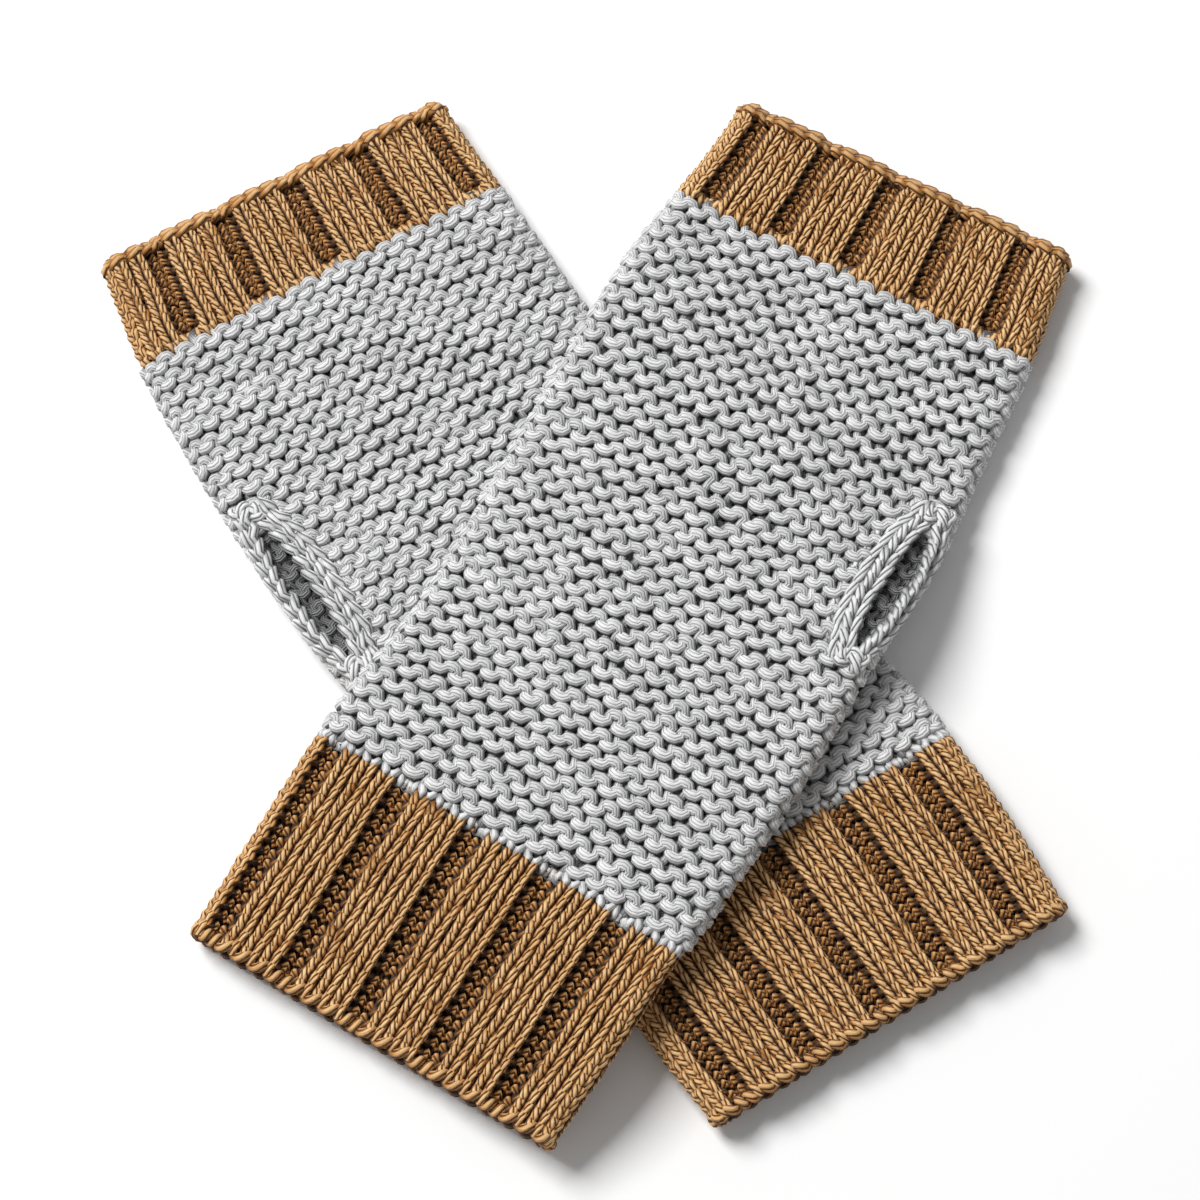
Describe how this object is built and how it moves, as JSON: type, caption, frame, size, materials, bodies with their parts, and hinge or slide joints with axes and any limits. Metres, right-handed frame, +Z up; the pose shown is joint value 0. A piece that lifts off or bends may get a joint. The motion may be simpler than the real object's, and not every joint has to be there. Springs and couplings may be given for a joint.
{
  "type": "pair of fingerless knitted gloves",
  "caption": "Fingerless knitted mitts with ribbed cuffs, a garter-stitch hand and an edged thumb slit, laid flat and crossed one over the other.",
  "frame": {"origin": "middle of the underside of the box round both mitts, on the surface that they lie on", "axes": "+Z up out of the surface; +Y towards the finger cuffs, between the two mitts; +X towards the top mitt's thumb edge"},
  "size_m": [0.217, 0.236, 0.0216],
  "materials": {
    "brown_yarn": "matt plied cotton yarn, golden brown, knitted in a three by two rib",
    "grey_yarn": "matt plied cotton yarn, light heather grey, knitted in garter stitch"
  },
  "bodies": {
    "root": {"under_wrist_cuff": "brown_yarn", "under_hand": "grey_yarn", "under_thumb_edging": "grey_yarn", "under_finger_cuff": "brown_yarn", "top_wrist_cuff": "brown_yarn", "top_hand": "grey_yarn", "top_thumb_edging": "grey_yarn", "top_finger_cuff": "brown_yarn"}
  },
  "joints": []
}
